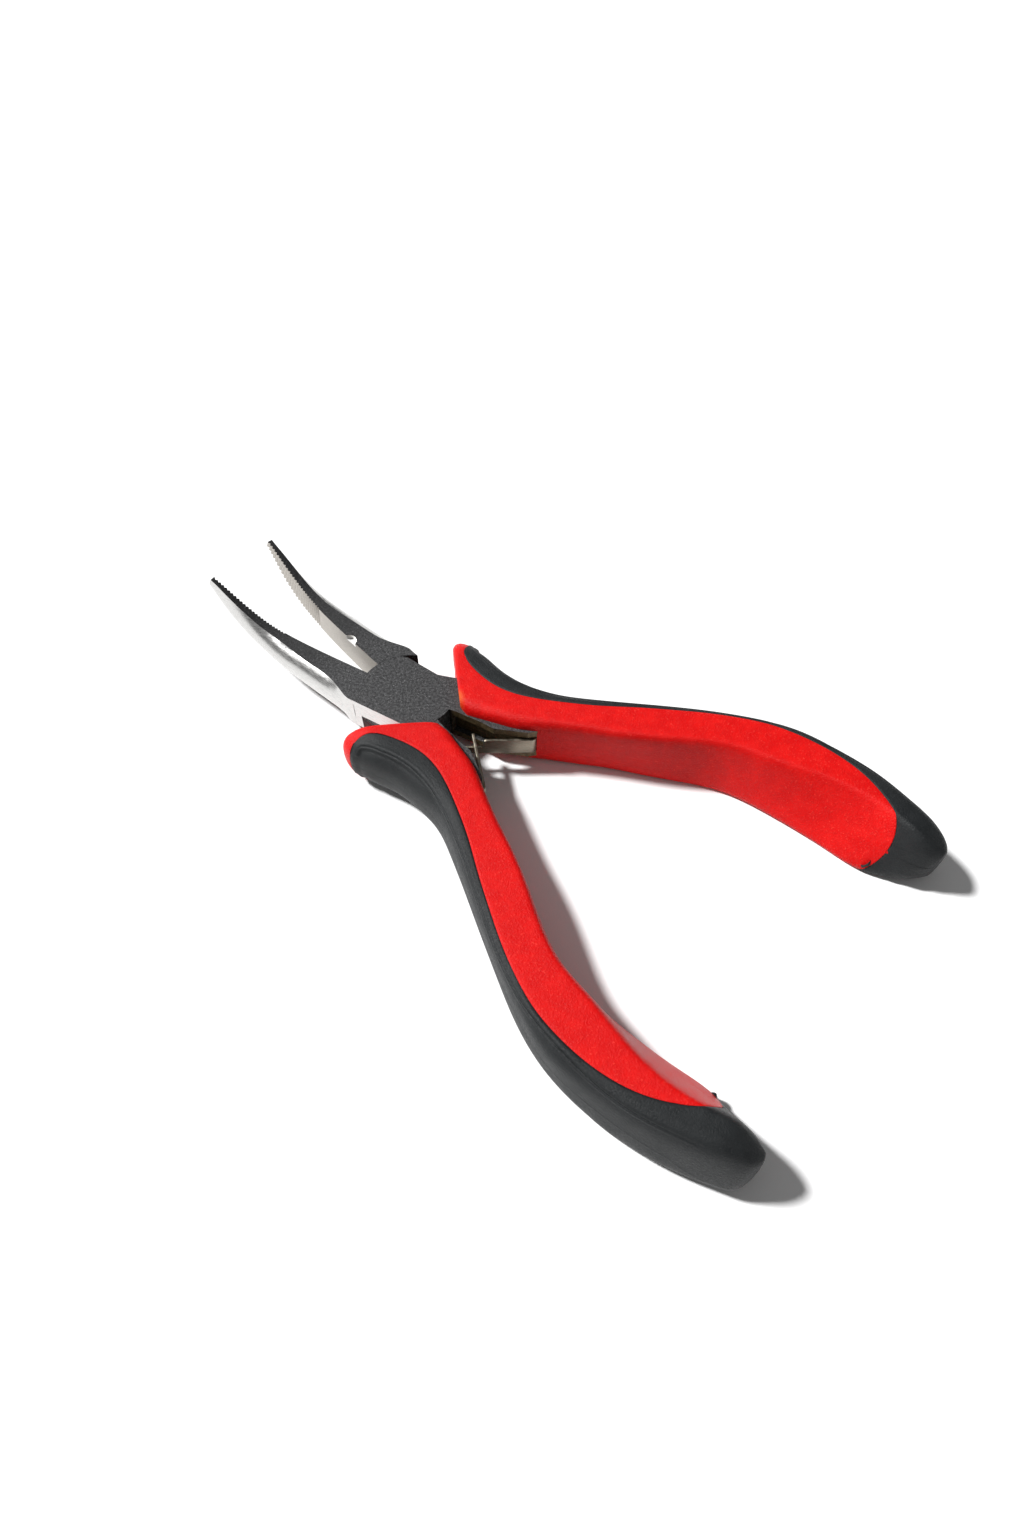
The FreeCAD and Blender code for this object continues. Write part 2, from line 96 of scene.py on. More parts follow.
# ... and on the shell's side
SHELL_RIM = [(1.85, 16.06), (0.4, 15.8), (-1.0, 15.0), (-1.4, 14.0), (-0.10, 12.4), (5.0, 7.8),
             (10.75, 2.55), (14.0, 3.1), (18.5, 4.7), (22.3, 6.5), (26.6, 9.1), (32.0, 12.2),
             (37.5, 15.1), (42.7, 17.95), (46.8, 20.4), (50.8, 22.35), (54.6, 23.35),
             (58.6, 23.95), (62.3, 24.5), (66.5, 24.95), (70.5, 25.2), (73.5, 25.15),
             (75.6, 25.0), (77.2, 24.9), (78.1, 24.86), (78.7, 24.85), (79.1, 24.85),
             (79.4, 24.85)]
# Crease round the skin's finger panel, in plan (x, y)
CREASE = [(2.9, 15.6), (3.0, 14.8), (3.7, 14.25), (5.81, 13.6), (9.62, 12.9), (13.61, 12.81),
          (17.59, 13.59), (21.5, 15.08), (26.4, 17.6), (31.76, 20.8), (36.5, 23.9),
          (40.93, 26.7), (45.28, 29.2), (53.0, 32.55), (58.95, 33.85), (62.5, 34.3),
          (66.06, 34.5), (70.52, 34.3), (74.47, 33.6), (79.52, 32.3)]

ROWS = 430                    # mesh rows along the seam
SKIN_COLS, SHELL_COLS, UNDER_COLS = 150, 110, 30
SKIN_THICK = 1.35
UNDER_DEPTH = 1.39            # depth of the shell's body below the skin's surface
UNDER_EDGE = 0.10             # the same along the seam

# Room cut in the shell for the steel parts, outlines in plan (x, y)
TANG_HALF = 3.3               # half thickness of the tang
TANG = [(10.3, 1.95), (14.65, 2.75), (17.2, 3.0), (22.4, 5.95), (23.7, 7.6), (24.4, 9.3),
        (30.0, 12.6), (36.0, 16.2), (43.0, 20.6), (50.0, 24.0), (57.5, 26.9), (61.5, 27.6),
        (61.5, 31.0), (57.0, 30.6), (49.0, 28.4), (41.0, 24.0), (33.5, 19.0), (26.5, 14.6),
        (19.5, 11.7), (12.0, 10.3), (7.0, 9.0), (3.6, 7.2), (1.5, 6.25), (6.0, 1.0)]
MOUTH = [(4.0, -3.0), (22.4, -3.0), (22.4, 7.4), (16.5, 6.5), (9.0, 5.0), (4.0, 4.0)]
JOINT_SWEEP_R = 8.95
EYE_ROOM_R = 0.95
LEAF_ROOM_HALF = 1.85

# Leaf spring: a strip with a rolled eye
EYE_X, EYE_Y = 22.54, 6.79
EYE_R = 0.65                  # to the middle of the strip's thickness
LEAF_DEG = 180 + 40.2         # direction of the right leaf, from its eye
LEAF_THICK = 0.5
LEAF_HALF = 1.7               # half width of the strip
LEAF_LEN = 11.6
SHOULDER_AT = 8.3             # beyond this only a lower tongue goes on
SHOULDER_R = 0.35
TONGUE_TOP = -0.05
TIP_ROUND = 0.5
LEAF_EDGE_R = 0.09


# ------------------------------------------------------------------ numeric helpers
def spline(knots, values):
    """Natural cubic spline through rows of values at the knots."""
    knots = np.asarray(knots, float)
    values = np.asarray(values, float)
    count = len(knots)
    gap = np.diff(knots)
    matrix = np.zeros((count, count))
    target = np.zeros((count, values.shape[1]))
    matrix[0, 0] = matrix[-1, -1] = 1
    for i in range(1, count - 1):
        matrix[i, i - 1] = gap[i - 1]
        matrix[i, i] = 2 * (gap[i - 1] + gap[i])
        matrix[i, i + 1] = gap[i]
        target[i] = 6 * ((values[i + 1] - values[i]) / gap[i]
                         - (values[i] - values[i - 1]) / gap[i - 1])
    bend = np.linalg.solve(matrix, target)

    def evaluate(x):
        x = np.asarray(x, float)
        i = np.clip(np.searchsorted(knots, x, side="right") - 1, 0, count - 2)
        span = gap[i][..., None]
        after = (knots[i + 1] - x)[..., None]
        before = (x - knots[i])[..., None]
        return (bend[i] * after ** 3 + bend[i + 1] * before ** 3) / (6 * span) \
            + (values[i] / span - bend[i] * span / 6) * after \
            + (values[i + 1] / span - bend[i + 1] * span / 6) * before
    return evaluate


def smoothstep(start, end, x):
    share = np.clip((x - start) / (end - start), 0, 1)
    return share * share * (3 - 2 * share)


def bell(offset, width):
    return np.exp(-(offset / width) ** 2)


def running_length(points):
    return np.r_[0, np.cumsum(np.linalg.norm(np.diff(points, axis=0), axis=1))]


def resample(at, lengths, points):
    return np.stack([np.interp(at, lengths, points[:, j]) for j in range(3)], 1)


def relax(values, rounds):
    """Smooths values in place along the first axis, both ends held."""
    for _ in range(rounds):
        values[1:-1] = 0.25 * values[:-2] + 0.5 * values[1:-1] + 0.25 * values[2:]


# ------------------------------------------------------------------ the grip's surface
# A surface point is (along, around): along runs from the joint to the tail through the stations,
# around is 0 on the outer side, pi/2 on top and pi on the inner side.
station_rows = np.array([[*inner, *outer, *rest] for inner, outer, *rest in STATIONS])
station_gap = np.sqrt(0.5 * (np.sum(np.diff(station_rows[:, :2], axis=0) ** 2, 1)
                             + np.sum(np.diff(station_rows[:, 2:4], axis=0) ** 2, 1)))
station_at = np.r_[0, np.cumsum(station_gap)]
GRIP_END = station_at[-1]
section = spline(station_at, station_rows)


def rounded_radius(cosine, sine, power):
    """Radius of the superellipse in the given direction."""
    return (np.abs(cosine) ** power + np.abs(sine) ** power) ** (-1.0 / power)


def surface(along, around):
    """Points on the right grip's outer surface, mm."""
    (in_x, in_y, out_x, out_y, half_h, in_pow, out_pow, crown_share,
     in_lean, out_lean) = np.moveaxis(section(along), -1, 0)
    width = np.hypot(out_x - in_x, out_y - in_y)
    dir_x, dir_y = (out_x - in_x) / width, (out_y - in_y) / width
    crown = width * crown_share
    cosine, sine = np.cos(around), np.sin(around)
    radius = rounded_radius(cosine, sine, np.where(cosine >= 0, out_pow, in_pow))
    cosine, sine = cosine * radius, sine * radius
    z = half_h * sine
    rise = z / FLAT_Z
    reach = np.where(cosine >= 0, width - crown - out_lean * rise, crown - in_lean * rise)
    across = crown + reach * cosine
    height = -CROWN_BLEND * np.log(np.exp(-np.abs(z) / CROWN_BLEND)
                                   + np.exp(-FLAT_Z / CROWN_BLEND))
    return np.stack([in_x + dir_x * across, in_y + dir_y * across,
                     np.sign(z) * np.maximum(height, 0)], -1)


def locate(x, y, lines, rows):
    """(along, around) of one plan point on the top half; rows are the sections at lines."""
    off = (x - rows[:, 0]) * (rows[:, 3] - rows[:, 1]) \
        - (y - rows[:, 1]) * (rows[:, 2] - rows[:, 0])
    crossings = np.where(np.sign(off[:-1]) != np.sign(off[1:]))[0]
    if len(crossings) == 0:
        crossings = np.array([np.argmin(np.abs(off[:-1]))])
    best = None
    for i in crossings:
        share = off[i] / (off[i] - off[i + 1]) if off[i] != off[i + 1] else 0.0
        along = lines[i] + (lines[1] - lines[0]) * share
        row = section(np.array([along]))[0]
        in_x, in_y, out_x, out_y = row[:4]
        width = math.hypot(out_x - in_x, out_y - in_y)
        across = ((x - in_x) * (out_x - in_x) + (y - in_y) * (out_y - in_y)) / width
        beyond = max(0, -across, across - width)
        if best is None or beyond < best[0]:
            best = (beyond, along, across, width, row)
    _, along, across, width, row = best
    half_h, in_pow, out_pow, crown_share, in_lean, out_lean = row[4:]
    crown = width * crown_share
    outwards = across >= crown
    if outwards:
        end, power, lean, reach = 0.0, out_pow, out_lean, width - crown
    else:
        end, power, lean, reach = math.pi, in_pow, in_lean, crown
    # from the crown down the side to the first crossing
    angles = np.linspace(math.pi / 2, end, 721)
    cosine, sine = np.cos(angles), np.sin(angles)
    radius = rounded_radius(cosine, sine, power)
    rise = half_h * sine * radius / FLAT_Z
    walk = crown + (reach - lean * rise) * (cosine * radius)
    passed = np.where(walk >= across if outwards else walk <= across)[0]
    if len(passed) == 0:
        return along, angles[-1]
    k = int(passed[0])
    if k == 0:
        return along, angles[0]
    share = (across - walk[k - 1]) / (walk[k] - walk[k - 1])
    return along, angles[k - 1] + (angles[k] - angles[k - 1]) * share


def plan_to_surface(points):
    lines = np.linspace(station_at[1], GRIP_END, 4001)
    rows = section(lines)
    return np.array([locate(x, y, lines, rows) for x, y in points])


# ------------------------------------------------------------------ seam and rims
def rim_paths():
    """The grip's rim as two (along, around) paths from the seam's first end to its last: over the
    outer side and the tail, and over the front end and the inner side."""
    along = np.linspace(0, GRIP_END, 900)
    turn = np.linspace(0, math.pi, 121)[1:-1]
    outer = np.stack([along, np.zeros(900)], 1)
    inner = np.stack([along, np.full(900, math.pi)], 1)
    tail = np.stack([np.full(119, GRIP_END), turn], 1)
    front = np.stack([np.zeros(119), turn], 1)
    first, last = plan_to_surface([SEAM[0], SEAM[-1]])[:, 0]
    skin = np.concatenate([outer[along >= first], tail, inner[along >= last][::-1]])
    shell = np.concatenate([outer[along <= first][::-1], front, inner[along <= last]])
    return skin, shell


def build_seam():
    """Seam points evenly spaced in 3-D: their length in plan and their (along, around)."""
    curve = spline(SEAM_KEYS, SEAM)
    fine = np.linspace(0, SEAM_KEYS[-1], 1600)
    points = plan_to_surface(curve(fine))
    length = running_length(surface(points[:, 0], points[:, 1]))
    rising = length + np.linspace(0, 1e-6, len(length))
    lengths = np.interp(np.linspace(0, length[-1], ROWS), rising, fine)
    line = plan_to_surface(curve(lengths))
    line[0, 1] = 0.0
    line[-1, 1] = math.pi
    relax(line, 6)           # the plan curve meets the rim at a steep angle
    return lengths, line


def rim_partners(anchors, path):
    """For each seam row its partner on the rim path, led by the anchors, kept in order."""
    points = surface(path[:, 0], path[:, 1])[:, :2]
    length = running_length(points)
    window = max(4, int(len(points) * 0.14))
    found, low = [], 0
    for x, y in anchors:
        distance = np.hypot(points[low:, 0] - x, points[low:, 1] - y)
        low += int(np.argmin(distance[:window]))
        found.append(length[low])
    at = np.interp(seam_lengths, SEAM_KEYS, np.maximum.accumulate(np.array(found)))
    relax(at, 30)
    return np.stack([np.interp(at, length, path[:, 0]), np.interp(at, length, path[:, 1])], 1)


SEAM_KEYS = running_length(np.array(SEAM))
seam_lengths, seam_line = build_seam()
skin_path, shell_path = rim_paths()
skin_rim = rim_partners(SKIN_RIM, skin_path)
shell_rim = rim_partners(SHELL_RIM, shell_path)


# ------------------------------------------------------------------ point grids
def even_row(points, columns, lead):
    """One row spaced evenly between its seams, with the corner of top and wall rounded."""
    length = running_length(points)
    total = length[-1]
    if total < 1e-6:
        return np.tile(points[0], (columns, 1))
    start = min(lead, total * 0.45)
    row = resample(np.linspace(start, total - start, 4 * columns), length, points)
    step = (total - 2 * start) / (4 * columns - 1)
    sigma = max(1, int(round(0.22 / max(step, 1e-6))))
    sigma = min(sigma, columns // 3)
    pad = 3 * sigma
    kernel = np.exp(-0.5 * (np.arange(-pad, pad + 1) / sigma) ** 2)
    kernel /= kernel.sum()
    padded = np.concatenate([2 * row[0] - row[pad:0:-1], row,
                             2 * row[-1] - row[-2:-pad - 2:-1]])
    row = np.stack([np.convolve(padded[:, j], kernel, "valid") for j in range(3)], 1)
    length = running_length(row)
    return resample(np.linspace(0, length[-1], columns), length, row)


def sheet(rim, columns, lead=0.0):
    """Rows of points from the upper seam over the rim to the lower seam. lead keeps the first
    and last points this far (mm) from the seam."""
    share = np.linspace(0, 1, 200)
    share = share * share * (3 - 2 * share) * 0.35 + share * 0.65
    along = seam_line[:, None, 0] * (1 - share) + rim[:, None, 0] * share
    around = seam_line[:, None, 1] * (1 - share) + rim[:, None, 1] * share
    top = surface(along, around)
    low = surface(along, -around)[:, ::-1]
    drop = np.linspace(0, 1, 26)[1:-1][None, :, None]
    wall = top[:, -1:] * (1 - drop) + low[:, :1] * drop
    lines = np.concatenate([top, wall, low], 1)
    return np.array([even_row(line, columns, lead) for line in lines])


def outward_normals(grid, side):
    """Unit normals of a grid, turned so that the middle one points to y of the given sign."""
    normals = np.cross(np.gradient(grid, axis=0), np.gradient(grid, axis=1))
    size = np.linalg.norm(normals, axis=2, keepdims=True)
    bad = size[..., 0] < 1e-9
    normals = normals / np.maximum(size, 1e-12)
    for i in range(3):       # collapsed end rows take their neighbours' normals
        normals[i] = np.where(bad[i][:, None], normals[3], normals[i])
        normals[-1 - i] = np.where(bad[-1 - i][:, None], normals[-4], normals[-1 - i])
    middle = normals[grid.shape[0] // 2, grid.shape[1] // 2, 1]
    return -normals if middle * side < 0 else normals


def row_lengths(grid):
    """Length along each row, each row's total, and the distance to the nearer seam."""
    arc = np.cumsum(np.linalg.norm(np.diff(grid, axis=1, prepend=grid[:, :1]), axis=2), axis=1)
    total = arc[:, -1:]
    return arc, total, np.minimum(arc, total - arc)


def polyline_distance(points, line):
    """Distance of each point to the line's nearest vertex."""
    result = np.empty(len(points))
    for k in range(0, len(points), 4000):
        offset = points[k:k + 4000, None, :] - line[None]
        result[k:k + 4000] = np.sqrt((offset * offset).sum(2).min(1))
    return result


def crease_distance(grid):
    """Distance to the finger panel's crease, positive inside the panel."""
    keys = running_length(np.array(CREASE))
    plan = spline(keys, CREASE)(np.linspace(0, keys[-1], 500))
    along, around = plan_to_surface(plan).T
    points = grid.reshape(-1, 3)
    distance = np.minimum(polyline_distance(points, surface(along, around)),
                          polyline_distance(points, surface(along, -around)))
    distance = distance.reshape(grid.shape[:2])
    inside = np.zeros(grid.shape[:2], bool)
    middle = SKIN_COLS // 2
    for i in range(ROWS):
        inside[i, int(np.argmin(distance[i, :middle])):middle] = True
        inside[i, middle:middle + int(np.argmin(distance[i, middle:])) + 1] = True
    return np.where(inside, distance, -distance)


def displaced(grid, normals, amount):
    moved = grid + normals * amount[..., None]
    moved[..., 2] = np.maximum(moved[..., 2], -FLAT_Z + 0.01)
    return moved


def skin_relief(grid):
    """Height of the skin's moulded features over the plain surface."""
    arc, total, to_seam = row_lengths(grid)
    depth = crease_distance(grid)
    x = grid[..., 0]
    # the panel closes at the front end and dies out towards the tail
    fade = smoothstep(2.2, 4.0, x) * (1 - smoothstep(70.0, 83.0, x))
    fade = fade * smoothstep(2.0, 4.5, total)
    panel = -0.42 * smoothstep(0.0, 0.75, depth) * (0.45 + 0.55 * (1 - smoothstep(20, 45, x)))
    crease = -0.20 * bell(depth, 0.16)
    ridge = 0.10 * bell(depth + 0.55, 0.30)
    lip = -0.10 * bell(to_seam, 0.14) * smoothstep(1.0, 6.0, total)
    parting = 0.035 * bell(arc - total / 2, 0.10)
    return (panel + crease + ridge) * fade + lip + parting * smoothstep(3, 6, total)


def skin_and_under_grids():
    """Skin outside, skin inside, and the shell's body below the skin."""
    base = sheet(skin_rim, SKIN_COLS, lead=0.03)
    normals = outward_normals(base, 1)
    # steadier normals for the under-surface: edge columns follow their neighbours
    steady = normals.copy()
    steady[:, :14] = steady[:, 14:15]
    steady[:, -14:] = steady[:, -15:-14]
    steady[:10] = steady[10:11]
    relax(steady, 10)
    steady /= np.maximum(np.linalg.norm(steady, axis=2, keepdims=True), 1e-9)
    normals[:, :3] = normals[:, 3:4]
    normals[:, -3:] = normals[:, -4:-3]
    outside = displaced(base, normals, skin_relief(base))

    picks = np.linspace(0, SKIN_COLS - 1, UNDER_COLS).round().astype(int)
    total = row_lengths(base)[1]
    taper = 0.02 + 0.98 * smoothstep(0.8, 9.0, total)[:, :, None]
    inside = base[:, picks] - steady[:, picks] * (SKIN_THICK * taper)

    depth = np.full(UNDER_COLS, UNDER_DEPTH)
    depth[[0, -1]] = UNDER_EDGE
    under = sheet(skin_rim, UNDER_COLS) - steady[:, picks] * depth[None, :, None] * taper
    return outside, inside, under


def shell_grid():
    base = sheet(shell_rim, SHELL_COLS)
    arc, total, to_seam = row_lengths(base)
    lip = -0.07 * bell(to_seam, 0.12)
    parting = 0.03 * bell(arc - total / 2, 0.10) * smoothstep(6, 9, total)
    return displaced(base, outward_normals(base, -1), lip + parting)


# ------------------------------------------------------------------ mesh helpers
def add_object(name, data):
    ob = bpy.data.objects.new(name, data)
    bpy.context.scene.collection.objects.link(ob)
    return ob


def to_frame(verts):
    verts = np.array(verts, float)
    verts[:, 2] += MID_Z
    return verts * MM


def mesh_object(name, verts, faces, weld=0):
    """Object from points in mm; weld is the merging distance in metres, 0 for none."""
    mesh = bpy.data.meshes.new(name)
    mesh.from_pydata([tuple(vert) for vert in to_frame(verts)], [], faces)
    ob = add_object(name, mesh)
    bm = bmesh.new()
    bm.from_mesh(mesh)
    if weld > 0:
        bmesh.ops.remove_doubles(bm, verts=bm.verts, dist=weld)
        bmesh.ops.dissolve_degenerate(bm, edges=bm.edges, dist=weld * 0.2)
    bmesh.ops.recalc_face_normals(bm, faces=bm.faces)
    bm.to_mesh(mesh)
    bm.free()
    mesh.update()
    return ob


def sharpen(ob, degrees):
    """Smooth shading with sharp edges above the given angle."""
    bm = bmesh.new()
    bm.from_mesh(ob.data)
    limit = math.radians(degrees)
    for face in bm.faces:
        face.smooth = True
    for edge in bm.edges:
        edge.smooth = not (len(edge.link_faces) == 2 and edge.calc_face_angle(0) > limit)
    bm.to_mesh(ob.data)
    bm.free()


def strip_faces(rows, columns, start=0, flip=False):
    faces = []
    for i in range(rows - 1):
        for j in range(columns - 1):
            here = start + i * columns + j
            quad = (here, here + 1, here + columns + 1, here + columns)
            faces.append(quad[::-1] if flip else quad)
    return faces


def closed_skin(name, outer, inner):
    """Closed mesh between two grids with the same number of rows."""
    outer, inner = outer[1:-1], inner[1:-1]      # without the collapsed end rows
    rows, wide, _ = outer.shape
    narrow = inner.shape[1]
    verts = np.concatenate([outer.reshape(-1, 3), inner.reshape(-1, 3)])
    start = rows * wide
    faces = strip_faces(rows, wide) + strip_faces(rows, narrow, start, True)
    for i in range(rows - 1):
        near, far = i * wide, (i + 1) * wide
        near_in, far_in = start + i * narrow, start + (i + 1) * narrow
        faces.append((near, far, far_in, near_in))
        faces.append((far + wide - 1, near + wide - 1,
                      near_in + narrow - 1, far_in + narrow - 1))
    for i in (0, rows - 1):
        first = start + i * narrow
        faces.append(tuple(range(i * wide, i * wide + wide))
                     + tuple(range(first + narrow - 1, first - 1, -1)))
    return mesh_object(name, verts, faces)


def prism(name, outline, half):
    """Upright prism on a plan outline, reaching half above and below the mid-plane."""
    count = len(outline)
    verts = [(x, y, -half) for x, y in outline] + [(x, y, half) for x, y in outline]
    faces = [tuple(range(count))[::-1], tuple(range(count, 2 * count))]
    faces += [(i, (i + 1) % count, count + (i + 1) % count, count + i) for i in range(count)]
    return mesh_object(name, verts, faces, weld=1e-7)


def circle(x, y, radius, count):
    return [(x + radius * math.cos(2 * math.pi * i / count),
             y + radius * math.sin(2 * math.pi * i / count)) for i in range(count)]


def inflate(outline, gap):
    """Offsets a polygon of either winding outwards by gap."""
    points = np.array(outline, float)
    following = np.roll(points, -1, axis=0)
    area = 0.5 * np.sum(points[:, 0] * following[:, 1] - following[:, 0] * points[:, 1])
    sign = 1 if area > 0 else -1
    result = []
    for i in range(len(points)):
        last, here, after = points[i - 1], points[i], points[(i + 1) % len(points)]
        enter = (here - last) / np.linalg.norm(here - last)
        leave = (after - here) / np.linalg.norm(after - here)
        enter_normal = sign * np.array([enter[1], -enter[0]])
        middle = enter_normal + sign * np.array([leave[1], -leave[0]])
        middle = middle / max(np.linalg.norm(middle), 1e-9)
        result.append(tuple(here + middle * gap / max(0.5, middle @ enter_normal)))
    return result


def subtract(ob, cutters):
    for cutter in cutters:
        modifier = ob.modifiers.new("cut", "BOOLEAN")
        modifier.operation = "DIFFERENCE"
        modifier.solver = "EXACT"
        modifier.object = cutter
        depsgraph = bpy.context.evaluated_depsgraph_get()
        mesh = bpy.data.meshes.new_from_object(ob.evaluated_get(depsgraph))
        ob.modifiers.clear()
        old = ob.data
        ob.data = mesh
        bpy.data.meshes.remove(old)
        bpy.data.objects.remove(cutter)


def mirrored(ob, name):
    """Copy on the other side of the XZ plane."""
    mesh = ob.data.copy()
    copy = add_object(name, mesh)
    bm = bmesh.new()
    bm.from_mesh(mesh)
    for vert in bm.verts:
        vert.co.y = -vert.co.y
    bmesh.ops.reverse_faces(bm, faces=bm.faces)
    bm.to_mesh(mesh)
    bm.free()
    return copy


# ------------------------------------------------------------------ grips
def leaf_axes(turn=0):
    """Plan directions along the right leaf and across it, to its inner side."""
    angle = math.radians(LEAF_DEG + turn)
    quarter = angle + math.pi / 2
    return (math.cos(angle), math.sin(angle)), (math.cos(quarter), math.sin(quarter))


def leaf_room():
    """Outline swept by the leaf's root as it swings, from +4 to -15.7 degrees."""
    corners = []
    for turn, offset, reaches in ((4.0, EYE_R + 0.37, (0, 5)), (-15.7, EYE_R - 0.37, (5, 0))):
        along, across = leaf_axes(turn)
        for reach in reaches:
            corners.append((EYE_X + across[0] * offset + along[0] * reach,
                            EYE_Y + across[1] * offset + along[1] * reach))
    return corners


def build_grip():
    outside, inside, under = skin_and_under_grids()
    shell = closed_skin("right_handle_hard_shell", shell_grid(), under)
    subtract(shell, [
        prism("c_mouth", MOUTH, TANG_HALF + 0.02),
        prism("c_tang", inflate(TANG, 0.03), TANG_HALF + 0.03),
        prism("c_sweep", circle(0, 0, JOINT_SWEEP_R, 96), TANG_HALF + 0.12),
        prism("c_eye", circle(EYE_X, EYE_Y, EYE_ROOM_R, 40), LEAF_ROOM_HALF),
        prism("c_leaf", leaf_room(), LEAF_ROOM_HALF)])
    sharpen(shell, 32)
    skin = closed_skin("right_handle_soft_skin", outside, inside)
    sharpen(skin, 50)
    return shell, skin


shell_right, skin_right = build_grip()
shell_left = mirrored(shell_right, "left_handle_hard_shell")
skin_left = mirrored(skin_right, "left_handle_soft_skin")


# ------------------------------------------------------------------ leaf springs
def leaf_outline():
    """Middle line of the ribbon as (along, across) from the eye, and its top and bottom z."""
    line = [(-EYE_R * math.sin(turn), EYE_R * math.cos(turn))
            for turn in np.linspace(math.radians(300), 0, 44)]
    rolled = len(line)
    line += [(along, EYE_R) for along in np.linspace(0, LEAF_LEN, 60)[1:]]
    line = np.array(line)
    top = np.full(len(line), LEAF_HALF)
    bottom = np.full(len(line), -LEAF_HALF)
    round_from = SHOULDER_AT - SHOULDER_R
    tip_from = LEAF_LEN - TIP_ROUND
    tip_z = (TONGUE_TOP - LEAF_HALF) / 2
    for i in range(rolled, len(line)):
        along = line[i, 0]
        if along > SHOULDER_AT:
            top[i] = TONGUE_TOP
        elif along > round_from:
            drop = math.sqrt(max(0, 1 - ((along - round_from) / SHOULDER_R) ** 2))
            top[i] = TONGUE_TOP + (LEAF_HALF - TONGUE_TOP) * drop
        if along > tip_from:
            share = min(1.0, (along - tip_from) / TIP_ROUND)
            scale = math.sqrt(max(0.0, 1 - share * share)) * 0.75 + 0.25
            top[i] = tip_z + (top[i] - tip_z) * scale
            bottom[i] = tip_z + (bottom[i] - tip_z) * scale
    return line, top, bottom


def build_leaf(name):
    """Right leaf: a bent ribbon of even thickness with rounded edges."""
    line, top, bottom = leaf_outline()
    tangent = np.gradient(line, axis=0)
    tangent /= np.linalg.norm(tangent, axis=1)[:, None]
    normal = np.stack([-tangent[:, 1], tangent[:, 0]], 1)
    edge = LEAF_THICK / 2 - LEAF_EDGE_R
    profile = []             # offset through the thickness, which edge, z from its centre
    for centre, side, start in ((edge, 1, 0), (-edge, 1, 90), (-edge, -1, 180), (edge, -1, 270)):
        for step in (0, 30, 60, 90):
            angle = math.radians(start + step)
            profile.append((centre + LEAF_EDGE_R * math.cos(angle), side,
                            LEAF_EDGE_R * math.sin(angle)))
    along_dir, across_dir = leaf_axes()
    verts, faces = [], []
    for i in range(len(line)):
        for offset, side, rise in profile:
            z = (top[i] - LEAF_EDGE_R if side > 0 else bottom[i] + LEAF_EDGE_R) + rise
            along, across = line[i] + normal[i] * offset
            verts.append((EYE_X + along_dir[0] * along + across_dir[0] * across,
                          EYE_Y + along_dir[1] * along + across_dir[1] * across, z))
    count = len(profile)
    for i in range(len(line) - 1):
        for k in range(count):
            after = (k + 1) % count
            faces.append((i * count + k, i * count + after,
                          (i + 1) * count + after, (i + 1) * count + k))
    faces.append(tuple(range(count))[::-1])
    faces.append(tuple((len(line) - 1) * count + k for k in range(count)))
    ob = mesh_object(name, verts, faces, weld=1e-7)
    sharpen(ob, 40)
    return ob


def turned_over(leaf, name):
    """Copy turned half round about the X axis in the mid-plane."""
    copy = leaf.copy()
    copy.data = leaf.data.copy()
    copy.name = name
    bpy.context.scene.collection.objects.link(copy)
    for vert in copy.data.vertices:
        vert.co.y = -vert.co.y
        vert.co.z = 2 * MID_Z * MM - vert.co.z
    copy.data.update()
    return copy


leaf_right = build_leaf("right_spring_leaf")
leaf_left = turned_over(leaf_right, "left_spring_leaf")


# ------------------------------------------------------------------ material helpers
def new_material(name):
    material = bpy.data.materials.new(name)
    material.use_nodes = True
    tree = material.node_tree
    tree.nodes.clear()
    output = tree.nodes.new("ShaderNodeOutputMaterial")
    shader = tree.nodes.new("ShaderNodeBsdfPrincipled")
    tree.links.new(shader.outputs[0], output.inputs[0])
    return material, shader


